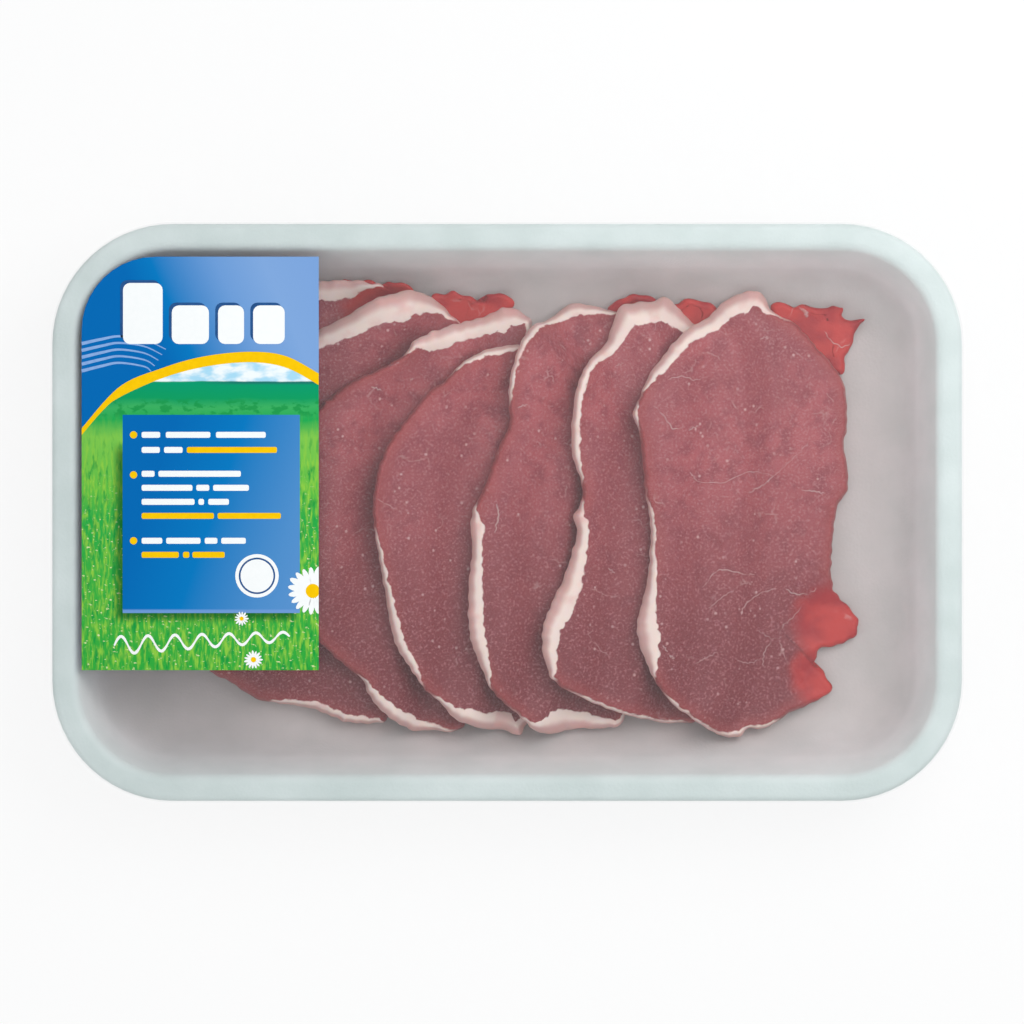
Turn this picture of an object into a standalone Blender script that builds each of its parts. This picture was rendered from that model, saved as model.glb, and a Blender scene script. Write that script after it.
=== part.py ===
"""Tray pack of thin boneless pork slices: a white foam tray, seven slices laid like shingles,
a clear stretch film round the tray and a paper label on the film.

Frame: metres, +Z up. The origin is under the middle of the pack, on the surface it stands on.
+X runs along the tray from the label end to the last slice laid, +Y across it.
"""

import math

import bmesh
import bpy
import numpy as np

MM = 0.001

# Foam tray: one moulded dish with a flat rim.
TRAY_LENGTH = 260 * MM
TRAY_WIDTH = 165 * MM
TRAY_HEIGHT = 30 * MM
CORNER_RADIUS = 34.5 * MM
CORNER_STEPS = 5
FOAM_THICKNESS = 4 * MM
RIM_WIDTH = 7.2 * MM
FLOOR_INSET = 19 * MM
BASE_INSET = 20 * MM

# Stretch film and label.
FILM_THICKNESS = 0.3 * MM
CLEARANCE = 0.35 * MM
SEAM_LENGTH = 150 * MM
SEAM_WIDTH = 2 * MM
SEAM_OFFSET = 12 * MM
LABEL_LEFT = -121.3 * MM
LABEL_RIGHT = -53.7 * MM
LABEL_TOP = 72.9 * MM
LABEL_BOTTOM = -45 * MM
LABEL_CORNER = 21 * MM
LABEL_THICKNESS = 0.3 * MM

# Slices.
SLICE_THICKNESS = 6.2 * MM
SLICE_GAP = 0.8 * MM
SLICE_EDGE = 1.4 * MM
BEND_REACH = 5 * MM
BEND_MARGIN = 1 * MM
OUTLINE_STEPS = 44
INNER_RINGS = (0.82, 0.64, 0.46, 0.28, 0.12)
SPINE_SHARE = 0.5
CELL = 1 * MM

TRAY_BASE = FILM_THICKNESS + CLEARANCE
FLOOR_LEVEL = TRAY_BASE + FOAM_THICKNESS
RIM_LEVEL = TRAY_BASE + TRAY_HEIGHT
FILM_UNDERSIDE = RIM_LEVEL + CLEARANCE
LABEL_UNDERSIDE = FILM_UNDERSIDE + FILM_THICKNESS + CLEARANCE

# Inside of the dish, from the rim to the floor: distance in from the outer edge, and height.
INSIDE_PROFILE = (
    (RIM_WIDTH, RIM_LEVEL - 0.4 * MM),
    (RIM_WIDTH + 1.2 * MM, RIM_LEVEL - 2.2 * MM),
    (FLOOR_INSET - 5.6 * MM, FLOOR_LEVEL + 5.2 * MM),
    (FLOOR_INSET - 3.6 * MM, FLOOR_LEVEL + 1.8 * MM),
    (FLOOR_INSET, FLOOR_LEVEL),
)

# Each slice's edge in millimetres, anticlockwise from its top, in the order they are laid.
# A smooth closed curve runs through the points.
SLICE_EDGES = {
    "slice_1": (
        (-46, 67), (-70, 62), (-91, 48), (-104, 23), (-107, -5), (-101, -28),
        (-85, -41), (-67, -43), (-58, -25), (-56, 3), (-50, 30), (-37, 50), (-26, 60), (-32, 65),
    ),
    "slice_2": (
        (-32, 64), (-46, 57), (-68, 46), (-86, 23), (-93, -8), (-86, -45), (-66, -56),
        (-48, -60), (-36, -59), (-33, -37), (-32, -2), (-24, 30), (-10, 50), (1, 60), (-15, 63),
    ),
    "slice_3": (
        (-1, 60), (-22, 53), (-40, 40), (-61, 23), (-68, -2), (-62, -25), (-47, -44),
        (-35, -58), (-23, -64), (-12, -61), (-8, -37), (-8, -2), (-1, 25), (7, 52),
    ),
    "slice_4": (
        (1, 48), (-13, 43), (-30, 26), (-39, 2), (-35, -22), (-31, -40), (-22, -53),
        (-2, -64), (10, -60), (13, -37), (16, -2), (19, 23), (14, 42),
    ),
    "slice_5": (
        (22, 60), (9, 55), (0, 38), (0, 26), (-10, 2), (-11, -32), (-5, -51), (10, -64),
        (29, -62), (37, -46), (39, -22), (40, 12), (43, 38), (43, 56), (35, 62),
    ),
    "slice_6": (
        (45, 61), (31, 56), (21, 40), (18, 19), (21, 7), (19, -5), (10, -39), (22, -54),
        (42, -62), (58, -58), (63, -37), (65, -8), (66, 20), (65, 46), (59, 60),
    ),
    "slice_7": (
        (71, 64), (59, 60), (45, 45), (36, 29), (40, 5), (41, -11), (37, -32), (45, -52),
        (60, -64), (75, -63), (94, -51), (89, -44), (102, -32), (94, -20), (98, 9),
        (98, 36), (103, 52), (96, 60), (78, 61),
    ),
}


def clear_scene():
    for obj in list(bpy.data.objects):
        bpy.data.objects.remove(obj, do_unlink=True)


def make_material(name, colour, roughness, alpha=1.0):
    material = bpy.data.materials.new(name)
    material.use_nodes = True
    shader = material.node_tree.nodes["Principled BSDF"]
    shader.inputs["Base Color"].default_value = (*colour, 1)
    shader.inputs["Roughness"].default_value = roughness
    shader.inputs["Metallic"].default_value = 0
    shader.inputs["Alpha"].default_value = alpha
    return material


def finish_object(name, mesh_builder, material, collection):
    """Turns a finished bmesh into a smooth-shaded object with its normals out."""
    bmesh.ops.recalc_face_normals(mesh_builder, faces=mesh_builder.faces)
    mesh = bpy.data.meshes.new(name)
    mesh_builder.to_mesh(mesh)
    mesh_builder.free()
    mesh.materials.append(material)
    mesh.shade_smooth()
    mesh.set_sharp_from_angle(angle=math.radians(40))
    obj = bpy.data.objects.new(name, mesh)
    collection.objects.link(obj)
    return obj


def loft(rings):
    """A closed solid through rings of equal point counts, with a cap on the first and the last."""
    builder = bmesh.new()
    loops = [[builder.verts.new(point) for point in ring] for ring in rings]
    count = len(loops[0])
    for lower, upper in zip(loops, loops[1:]):
        for i in range(count):
            j = (i + 1) % count
            builder.faces.new((lower[i], lower[j], upper[j], upper[i]))
    caps = [builder.faces.new(loops[0][::-1]), builder.faces.new(loops[-1])]
    bmesh.ops.triangulate(builder, faces=caps)
    return builder


def rounded_rectangle(length, width, radius, height, centre_y=0.0):
    """A ring of points round a rectangle with round corners."""
    ring = []
    for corner, (side_x, side_y) in enumerate(((1, 1), (-1, 1), (-1, -1), (1, -1))):
        for step in range(CORNER_STEPS + 1):
            angle = math.pi / 2 * (corner + step / CORNER_STEPS)
            x = side_x * (length / 2 - radius) + radius * math.cos(angle)
            y = side_y * (width / 2 - radius) + radius * math.sin(angle)
            ring.append((x, y + centre_y, height))
    return ring


def tray_ring(inset, height):
    """The tray's outline moved in by inset, at the given height."""
    return rounded_rectangle(
        TRAY_LENGTH - 2 * inset, TRAY_WIDTH - 2 * inset, CORNER_RADIUS - inset, height
    )


def make_tray(collection):
    underside = (
        (BASE_INSET, TRAY_BASE),
        (BASE_INSET - 2.2 * MM, TRAY_BASE + 1 * MM),
        (RIM_WIDTH + 1.6 * MM, RIM_LEVEL - 6.2 * MM),
        (RIM_WIDTH - 1.2 * MM, RIM_LEVEL - 4.4 * MM),
        (1.4 * MM, RIM_LEVEL - 4.4 * MM),
        (0, RIM_LEVEL - 3.2 * MM),
    )
    rim = ((0, RIM_LEVEL - 1.4 * MM), (1.2 * MM, RIM_LEVEL), (RIM_WIDTH - 1.4 * MM, RIM_LEVEL))
    foam = make_material("white_foam", (0.76, 0.82, 0.81), 0.55)
    rings = [tray_ring(inset, height) for inset, height in underside + rim + INSIDE_PROFILE]
    return finish_object("tray", loft(rings), foam, collection)


def make_film(collection):
    """One sheet over the rim, down to the base and under it, with its edges meeting in a seam."""
    top = FILM_UNDERSIDE + FILM_THICKNESS
    side = CLEARANCE + FILM_THICKNESS
    skirt_inset = BASE_INSET - 3 * MM
    rim_drop = RIM_LEVEL - 4 * MM
    inner = (
        (0.6 * MM, FILM_UNDERSIDE),
        (-CLEARANCE, RIM_LEVEL - 1.2 * MM),
        (-CLEARANCE, rim_drop),
        (skirt_inset, FILM_THICKNESS),
    )
    outer = (
        (skirt_inset - FILM_THICKNESS, 0),
        (-side, rim_drop - FILM_THICKNESS),
        (-side, RIM_LEVEL - 1.2 * MM + FILM_THICKNESS),
        (0.6 * MM - FILM_THICKNESS, top),
    )
    seam = [
        rounded_rectangle(SEAM_LENGTH, SEAM_WIDTH, SEAM_WIDTH * 0.49, height, SEAM_OFFSET)
        for height in (FILM_THICKNESS, 0)
    ]
    rings = [tray_ring(inset, height) for inset, height in inner]
    rings += seam
    rings += [tray_ring(inset, height) for inset, height in outer]
    clear = make_material("stretch_film", (0.95, 0.97, 0.97), 0.1, alpha=0.12)
    return finish_object("film", loft(rings), clear, collection)


def make_label(collection):
    """A paper rectangle whose outer top corner is rounded to follow the tray."""
    builder = bmesh.new()
    bmesh.ops.create_grid(builder, x_segments=1, y_segments=1, size=0.5)
    size = (LABEL_RIGHT - LABEL_LEFT, LABEL_TOP - LABEL_BOTTOM, 1)
    height = LABEL_UNDERSIDE + LABEL_THICKNESS / 2
    middle = ((LABEL_LEFT + LABEL_RIGHT) / 2, (LABEL_TOP + LABEL_BOTTOM) / 2, height)
    bmesh.ops.scale(builder, vec=size, verts=builder.verts)
    bmesh.ops.translate(builder, vec=middle, verts=builder.verts)
    corner = min(builder.verts, key=lambda vertex: vertex.co.x - vertex.co.y)
    bmesh.ops.bevel(
        builder, geom=[corner], offset=LABEL_CORNER, segments=10, profile=0.5, affect="VERTICES"
    )
    paper = make_material("label_paper", (0.05, 0.22, 0.5), 0.35)
    label = finish_object("label", builder, paper, collection)
    thickness = label.modifiers.new("thickness", "SOLIDIFY")
    thickness.thickness = LABEL_THICKNESS
    thickness.offset = 0
    return label


def smooth_outline(points, steps):
    """A closed Catmull-Rom curve through the points, as evenly spaced places in metres."""
    knots = np.array(points, float) * MM
    fine = []
    for i in range(len(knots)):
        before, start, end, after = (knots[(i + k - 1) % len(knots)] for k in range(4))
        for t in np.linspace(0, 1, 12, endpoint=False):
            fine.append(
                0.5 * (2 * start + (end - before) * t
                       + (2 * before - 5 * start + 4 * end - after) * t**2
                       + (3 * start - before - 3 * end + after) * t**3)
            )
    fine = np.array(fine + [fine[0]])
    along = np.concatenate([[0], np.cumsum(np.linalg.norm(np.diff(fine, axis=0), axis=1))])
    places = np.linspace(0, along[-1], steps, endpoint=False)
    return np.stack([np.interp(places, along, fine[:, axis]) for axis in (0, 1)], axis=1)


def inset_outline(outline, distance):
    """The outline moved inwards along its own normals."""
    ahead = np.roll(outline, -1, axis=0) - np.roll(outline, 1, axis=0)
    inward = np.stack([-ahead[:, 1], ahead[:, 0]], axis=1)
    return outline + inward / np.linalg.norm(inward, axis=1, keepdims=True) * distance


class Heights:
    """What the next slice comes to lie on: a grid of heights over the tray."""

    def __init__(self):
        self.xs = np.arange(-TRAY_LENGTH / 2, TRAY_LENGTH / 2, CELL)
        self.ys = np.arange(-TRAY_WIDTH / 2, TRAY_WIDTH / 2, CELL)
        self.grid_x, self.grid_y = np.meshgrid(self.xs, self.ys)
        self.dish = self.dish_heights()
        self.stack = np.full(self.grid_x.shape, FLOOR_LEVEL)

    def dish_heights(self):
        """The inside of the tray, from the distance in from its outer edge."""
        past_x = np.abs(self.grid_x) - (TRAY_LENGTH / 2 - CORNER_RADIUS)
        past_y = np.abs(self.grid_y) - (TRAY_WIDTH / 2 - CORNER_RADIUS)
        outside = np.hypot(np.maximum(past_x, 0), np.maximum(past_y, 0))
        inset = CORNER_RADIUS - outside - np.minimum(np.maximum(past_x, past_y), 0)
        insets, heights = zip(*INSIDE_PROFILE)
        return np.interp(inset, insets, heights)

    def inside(self, outline):
        """Which cells the outline holds, by counting its crossings to the right of each."""
        held = np.zeros(self.grid_x.shape, bool)
        for (x0, y0), (x1, y1) in zip(outline, np.roll(outline, -1, axis=0)):
            if y0 == y1:
                continue
            spans = (self.grid_y < y0) != (self.grid_y < y1)
            crossing = x0 + (self.grid_y - y0) / (y1 - y0) * (x1 - x0)
            held ^= spans & (self.grid_x < crossing)
        return held

    def bridged(self):
        """The stack with its steps bridged, as flesh bends: never lower than the stack itself.

        The highest value within reach, averaged over a smaller reach, stays above every point.
        """
        highest = np.max(self.shifted(self.stack, BEND_REACH + BEND_MARGIN), axis=0)
        return np.mean(self.shifted(highest, BEND_REACH), axis=0)

    def shifted(self, field, reach):
        """Copies of the field, moved to every cell within reach."""
        cells = round(reach / CELL)
        around = range(-cells, cells + 1)
        shifts = [(i, j) for i in around for j in around if math.hypot(i, j) <= reach / CELL]
        return [np.roll(field, shift, axis=(0, 1)) for shift in shifts]

    def lay(self, outline):
        """Lays a slice on the stack and returns the heights of its underside."""
        underside = np.maximum(self.bridged(), self.dish) + SLICE_GAP
        covered = self.inside(outline)
        self.stack = np.where(covered, underside + SLICE_THICKNESS, self.stack)
        return underside

    def read(self, field, points):
        """The field's heights at the points, between the cells' own."""
        column = np.clip((points[:, 0] - self.xs[0]) / CELL, 0, len(self.xs) - 1.001)
        row = np.clip((points[:, 1] - self.ys[0]) / CELL, 0, len(self.ys) - 1.001)
        i, j = row.astype(int), column.astype(int)
        v, u = row - i, column - j
        near = field[i, j] * (1 - u) + field[i, j + 1] * u
        far = field[i + 1, j] * (1 - u) + field[i + 1, j + 1] * u
        return near * (1 - v) + far * v


def slice_rings(outline, heights, underside):
    """Rings over the underside, round the edge and over the top of a slice."""
    middle = outline.mean(axis=0)
    away = outline - middle
    lean = (away[:, 0] * away[:, 1]).sum() / (away[:, 1] ** 2).sum()
    spine = middle + SPINE_SHARE * np.stack([lean * away[:, 1], away[:, 1]], axis=1)
    face = inset_outline(outline, SLICE_EDGE)
    inner = [spine + share * (face - spine) for share in INNER_RINGS]
    plan = inner[::-1] + [face, outline, outline, face] + inner
    levels = [0] * (len(inner) + 1) + [0.27, 0.73] + [1] * (len(inner) + 1)
    rings = []
    for ring, level in zip(plan, levels):
        z = heights.read(underside, ring) + level * SLICE_THICKNESS
        rings.append(np.column_stack([ring, z]))
    return rings


def make_slices(collection):
    pork = make_material("raw_pork", (0.37, 0.14, 0.15), 0.35)
    heights = Heights()
    for name, points in SLICE_EDGES.items():
        outline = smooth_outline(points, OUTLINE_STEPS)
        underside = heights.lay(outline)
        rings = slice_rings(outline, heights, underside)
        finish_object(name, loft(rings), pork, collection)


def build():
    clear_scene()
    collection = bpy.data.collections.new("meat_tray_pack")
    bpy.context.scene.collection.children.link(collection)
    make_tray(collection)
    make_slices(collection)
    make_film(collection)
    make_label(collection)


build()
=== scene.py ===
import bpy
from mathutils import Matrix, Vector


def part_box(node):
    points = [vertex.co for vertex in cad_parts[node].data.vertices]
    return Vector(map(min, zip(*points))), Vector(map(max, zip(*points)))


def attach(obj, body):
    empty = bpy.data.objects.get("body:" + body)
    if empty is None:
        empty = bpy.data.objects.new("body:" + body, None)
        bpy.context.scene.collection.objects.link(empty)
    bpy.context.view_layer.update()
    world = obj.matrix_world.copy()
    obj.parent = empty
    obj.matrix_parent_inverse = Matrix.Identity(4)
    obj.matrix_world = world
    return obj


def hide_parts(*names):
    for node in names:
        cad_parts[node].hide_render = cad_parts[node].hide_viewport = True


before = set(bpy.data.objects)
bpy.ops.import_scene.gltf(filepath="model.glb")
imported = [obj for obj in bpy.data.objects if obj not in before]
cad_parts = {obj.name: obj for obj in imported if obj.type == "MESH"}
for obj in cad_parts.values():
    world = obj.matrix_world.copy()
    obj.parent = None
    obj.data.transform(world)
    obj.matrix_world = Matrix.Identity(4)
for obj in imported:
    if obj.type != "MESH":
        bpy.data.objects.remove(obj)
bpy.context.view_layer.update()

import math
from functools import partial

import bmesh
import bpy
import numpy as np
from mathutils.kdtree import KDTree

MM = 0.001

# ---------------------------------------------------------------------------------------------
# Tray. One dish of white polystyrene foam, thermoformed from extruded sheet, so its skin is
# satin with a faint closed-cell grain, and every corner is a soft radius.
# ---------------------------------------------------------------------------------------------

TRAY_CORNER = 34.5 * MM
tray_low, tray_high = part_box("tray")
tray_length, tray_width, tray_height = tray_high - tray_low
TRAY_SECTION = (
    # Inset from the outer edge, height above the base, and the radius of that bend, in mm.
    (60, 0, 0), (15.5, 0, 3), (6.2, 24.6, 2.6), (0.2, 25.4, 0.6), (0, 30, 1.9),
    (7.2, 30, 2.4), (16.2, 4, 11.5), (60, 4, 0),
)


def linear(code):
    """An sRGB hex colour as linear RGBA."""
    parts = [int(code[i:i + 2], 16) / 255 for i in (1, 3, 5)]
    return [p / 12.92 if p <= 0.04045 else ((p + 0.055) / 1.055) ** 2.4 for p in parts] + [1]


def add_node(tree, kind, inputs=None, output=0, stops=(), **settings):
    """Adds a node and returns one of its outputs. An input is a value or another output."""
    made = tree.nodes.new(kind)
    for key, value in settings.items():
        setattr(made, key, value)
    for key, value in (inputs or {}).items():
        if isinstance(value, bpy.types.NodeSocket):
            tree.links.new(value, made.inputs[key])
        else:
            made.inputs[key].default_value = value
    for i, (place, shade) in enumerate(stops):
        elements = made.color_ramp.elements
        element = elements[i] if i < 2 else elements.new(place)
        element.position = place
        element.color = linear(shade)
    return made.outputs[output] if len(made.outputs) else made


def new_material(name):
    """A material with an empty tree, the call that adds its nodes, and object coordinates."""
    material = bpy.data.materials.new(name)
    material.use_nodes = True
    material.node_tree.nodes.clear()
    node = partial(add_node, material.node_tree)
    return material, node, node("ShaderNodeTexCoord", output="Object")


def finish_shader(node, **inputs):
    """The Principled shader and the output that end every tree."""
    named = {key.replace("_", " "): value for key, value in inputs.items()}
    shader = node("ShaderNodeBsdfPrincipled", named)
    node("ShaderNodeOutputMaterial", {"Surface": shader})


def rounded_section(corners, steps=12):
    """A section line through the corners, each bend rounded by its radius, in metres."""
    line = np.array([corner[:2] for corner in corners], float) * MM
    points = [line[0]]
    for i in range(1, len(line) - 1):
        back, ahead = line[i - 1] - line[i], line[i + 1] - line[i]
        start = line[i] + back / np.linalg.norm(back) * corners[i][2] * MM
        end = line[i] + ahead / np.linalg.norm(ahead) * corners[i][2] * MM
        for t in np.linspace(0, 1, steps):
            points.append((1 - t) ** 2 * start + 2 * t * (1 - t) * line[i] + t**2 * end)
    return np.array(points + [line[-1]])


def tray_ring(inset, height, steps=16):
    """The tray's rounded outline moved in by inset, at a height above the ground."""
    radius = max(TRAY_CORNER - inset, 6 * MM)
    ring = []
    for corner, (side_x, side_y) in enumerate(((1, 1), (-1, 1), (-1, -1), (1, -1))):
        for angle in np.linspace(0, math.pi / 2, steps) + math.pi / 2 * corner:
            ring.append((
                side_x * (tray_length / 2 - inset - radius) + radius * math.cos(angle),
                side_y * (tray_width / 2 - inset - radius) + radius * math.sin(angle),
                height,
            ))
    return np.array(ring)


def ring_mesh(name, rings):
    """A mesh through rings of equal counts, closed at both ends."""
    rows, count = len(rings), len(rings[0])
    here = np.arange(rows * count).reshape(rows, count)
    right = np.roll(here, -1, axis=1)
    quads = np.stack([here[:-1], right[:-1], right[1:], here[1:]], axis=-1).reshape(-1, 4)
    faces = [*quads.tolist(), here[0][::-1].tolist(), here[-1].tolist()]
    mesh = bpy.data.meshes.new(name)
    mesh.from_pydata(np.concatenate(rings).tolist(), [], faces)
    mesh.update()
    mesh.shade_smooth()
    return mesh


def make_piece(name, mesh, material, slot, *replaced):
    """An object at the origin that rides on the pack and stands for the CAD nodes."""
    piece = bpy.data.objects.new(name, mesh)
    bpy.context.scene.collection.objects.link(piece)
    mesh.materials.clear()
    mesh.materials.append(material)
    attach(piece, "root")
    if replaced:
        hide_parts(*replaced)
    return piece


def foam_material():
    """Polystyrene foam, thermoformed: a satin skin over cells of about a millimetre.

    The floor is painted warmer and darker than the rim, as painted shade and reflected glow from
    the meat; the walls are painted lighter, as painted light.
    """
    material, node, place = new_material("thermoformed_polystyrene_foam")
    cells = node("ShaderNodeTexVoronoi", {"Vector": place, "Scale": 1 / (0.9 * MM)})
    waves = node("ShaderNodeTexNoise", {"Vector": place, "Scale": 1 / (14 * MM), "Detail": 4.0})
    height = node("ShaderNodeSeparateXYZ", {0: place}, output="Z")
    share = node(
        "ShaderNodeMapRange",
        {"Value": height, "From Min": tray_low.z + 3 * MM, "From Max": tray_high.z},
    )
    # Painted light and shade by height: a darker, pinker floor for shade and the meat's reflected
    # glow, and lighter walls as painted light.
    skin = node(
        "ShaderNodeValToRGB", {"Fac": share},
        stops=((0.0, "#C8BCBB"), (0.2, "#D6CECE"), (0.5, "#EFEBEC"), (0.92, "#EDF0F0"),
               (1.0, "#D9E2E1")),
    )
    shade = node(
        "ShaderNodeMix", {"Factor": waves, 6: skin, 7: linear("#DCE2E0")}, output=2,
        data_type="RGBA", blend_type="MULTIPLY",
    )
    gloss = node("ShaderNodeMapRange", {"Value": waves, "To Min": 0.42, "To Max": 0.55})
    relief = node("ShaderNodeMath", {0: cells, 1: waves}, operation="ADD")
    bump = node(
        "ShaderNodeBump", {"Height": relief, "Distance": 0.12 * MM, "Strength": 0.35}
    )
    finish_shader(node, Base_Color=shade, Roughness=gloss, Normal=bump, IOR=1.5)
    return material


tray_rings = [
    tray_ring(inset, tray_low.z + height) for inset, height in rounded_section(TRAY_SECTION)
]
make_piece("foam_tray", ring_mesh("foam_tray", tray_rings), foam_material(), "white_foam", "tray")

# ---------------------------------------------------------------------------------------------
# Pork slices. Seven thin slices of boneless loin, cut across the grain and laid like shingles
# from the label end, each leaning on the one before it. A rim of back fat follows the outer
# edge, and torn ends of side muscle hang on some of them.
# ---------------------------------------------------------------------------------------------

SLICE_THICKNESS = 6.2 * MM
SLICE_GAP = 0.8 * MM
BEND_REACH = 5
BEND_MARGIN = 1
CELL = 1 * MM
FLOOR_LEVEL = tray_low.z + 4 * MM
OUTLINE_STEPS = 640
FINE_EDGE = 5
# How far in from the edge the rings over the rounded shoulder and round the underside lie, in mm.
SHOULDER = (0.04, 0.12, 0.25, 0.45, 0.7, 1.0, 1.4, 1.9, 2.5, 3.2, 4.0, 5.0, 6.2)
UNDERSHOULDER = (1.4, 1.0, 0.6, 0.3, 0.1)
FACE_STEPS = 38
# Points on each side over which the rays to the spine are evened out, so that they don't cross.
SPREAD = 26

# Each slice's edge, anticlockwise from the top, in the order laid: x, y and the width of the
# band of fat there, in mm.
SLICES = {
    "slice_1": (
        (-37, 66, 1), (-47, 67, 5.5), (-59, 66, 5.5), (-72, 61, 4), (-91, 48, 3), (-104, 23, 2),
        (-107, -5, 2), (-101, -28, 2), (-85, -41, 1), (-67, -43, 0), (-58, -25, 0), (-56, 3, 0),
        (-50, 30, 0), (-37, 50, 0), (-27, 60, 0),
    ),
    "slice_2": (
        (-27.5, 64, 8), (-32.5, 63, 8.5), (-39, 61, 7.5), (-45.5, 57, 6.5), (-53.5, 53, 5.5),
        (-68, 46, 4), (-86, 23, 3), (-93, -8, 2), (-91, -32, 1), (-86.5, -45, 0), (-80, -49, 0),
        (-72.5, -54, 0), (-64.5, -55.5, 1.5), (-56, -57, 2.5), (-47, -60.5, 2.5),
        (-39, -61, 2), (-34, -58, 0), (-33, -37, 0), (-32, -2, 0), (-24, 30, 0), (-12, 50, 0),
        (-17, 58, 2), (-21.5, 62, 5.5),
    ),
    "slice_3": (
        (-1, 59.5, 8), (-4, 58, 7), (-7, 56.5, 5.5), (-14, 54.5, 5.5), (-20, 52.5, 5.5),
        (-23.5, 51, 5), (-27, 49, 3), (-30, 45, 0.5), (-38, 40.5, 0), (-47, 36, 0),
        (-60, 23, 0), (-68, -2, 1), (-63, -25, 1), (-54, -37, 0), (-47, -44, 0), (-42, -48, 1),
        (-39, -54, 3), (-33.5, -59.5, 4), (-27.5, -63, 4), (-22.5, -63, 2.5), (-12, -61, 0),
        (-8, -37, 0), (-8, -2, 0), (-1, 25, 0), (7, 52, 1.5), (4, 58, 5),
    ),
    "slice_4": (
        (-2.5, 47.5, 2.5), (-6.5, 46.5, 2), (-13.5, 42.5, 1), (-17, 38.5, 0.5),
        (-22.5, 34.5, 0), (-29, 26.5, 0), (-33.5, 20.5, 0), (-37, 12, 0), (-38.5, 0.5, 0),
        (-37, -11.5, 1.5), (-35, -23, 2), (-33.5, -32.5, 3), (-31.5, -39, 3),
        (-28, -44.5, 2.5), (-23.5, -51, 0.5), (-19, -55, 1.5), (-15, -59.5, 4), (-7, -62.5, 5),
        (-1, -63, 5.5), (3.5, -64.5, 5), (5.5, -61.5, 3), (10, -58, 0), (13, -37, 0),
        (16, -2, 0), (19, 23, 0), (14, 42, 0), (5, 48, 1.5),
    ),
    "slice_5": (
        (20.5, 60.5, 4), (17.5, 60, 4), (13, 56.5, 2.5), (10.5, 55, 1.5), (6.5, 53, 2.5),
        (2.5, 45, 1.5), (0.5, 36, 1.5), (0.5, 30.5, 0.5), (0.5, 25, 0), (-3, 17.5, 0),
        (-6.5, 7.5, 0), (-9.5, 1.5, 1), (-10.5, -4, 4), (-10, -10.5, 3), (-11, -20.5, 4),
        (-11, -33, 4.5), (-9.5, -39.5, 4), (-7, -45.5, 2.5), (-4.5, -51, 0.5),
        (1, -56.5, 0.5), (5, -60, 1), (8, -63, 3.5), (12.5, -64, 6.5), (17.5, -63, 6.5),
        (21.5, -62.5, 5), (27, -62.5, 3.5), (33.5, -60.5, 1.5), (37, -46, 0), (39, -22, 0),
        (40, 12, 0), (43, 38, 0), (40, 54, 0), (30, 58.5, 1.5),
    ),
    "slice_6": (
        (46.5, 62, 7.5), (42, 61, 6.5), (36.5, 60.5, 7), (32, 58.5, 7), (28.5, 49, 4),
        (23.5, 43.5, 2.5), (20.5, 37.5, 2.5), (19, 30.5, 2.5), (18.5, 18, 2.5),
        (21.5, 7.5, 0.5), (21, 2.5, 1), (19, -1, 4), (20, -6, 3.5), (16.5, -18, 5.5),
        (13, -25.5, 6.5), (10.5, -32, 5.5), (10, -38.5, 4.5), (11.5, -44.5, 3),
        (14, -49, 0.5), (23, -54, 1), (31.5, -57.5, 1), (41, -60, 1), (48, -61, 1),
        (58, -58, 0), (63, -37, 0), (65, -8, 0), (66, 20, 0), (65, 46, 0), (55, 54, 4),
    ),
    "slice_7": (
        (74, 63, 5.5), (70, 64, 6.5), (63.5, 61.5, 5.5), (57.5, 56, 4.5), (51, 52, 4),
        (44, 44, 3.5), (40, 38, 2), (38, 33, 0.5), (36, 28, 1.5), (38, 22, 0.5),
        (39.5, 6.5, 0.5), (41, -2.5, 1.5), (41, -10.5, 1.5), (40, -20.5, 3),
        (37.5, -30.5, 5.5), (37.5, -36, 6.5), (39.5, -42, 4.5), (42.5, -48.5, 0.5),
        (47, -54.5, 1), (52, -58.5, 1), (60.5, -64, 1), (67, -65, 2.5), (69.5, -62.5, 1),
        (74.5, -62.5, 1.5), (82, -58, 0), (89, -55, 0), (94, -51, 0), (92, -46.5, 0),
        (89, -44, 0), (91, -39.5, 0), (97.5, -38, 0), (102, -33.5, 0), (99.5, -28, 0),
        (94.5, -22, 0), (94, -12, 0), (95.5, 1, 0), (98.5, 6.5, 0), (98.5, 14, 0),
        (97.5, 18.5, 0.5), (98.5, 27.5, 0.5), (97, 38.5, 0.5), (89.5, 48, 0.5),
        (83, 55, 0.5), (77, 58, 1.5),
    ),
}

# Where a slice is red side muscle: x, y and reach, in mm.
RED_PATCHES = {
    "slice_7": ((94, -32, 12.5), (91, -47, 10)),
    "slice_1": ((-35, 57, 14),),
}

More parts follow.
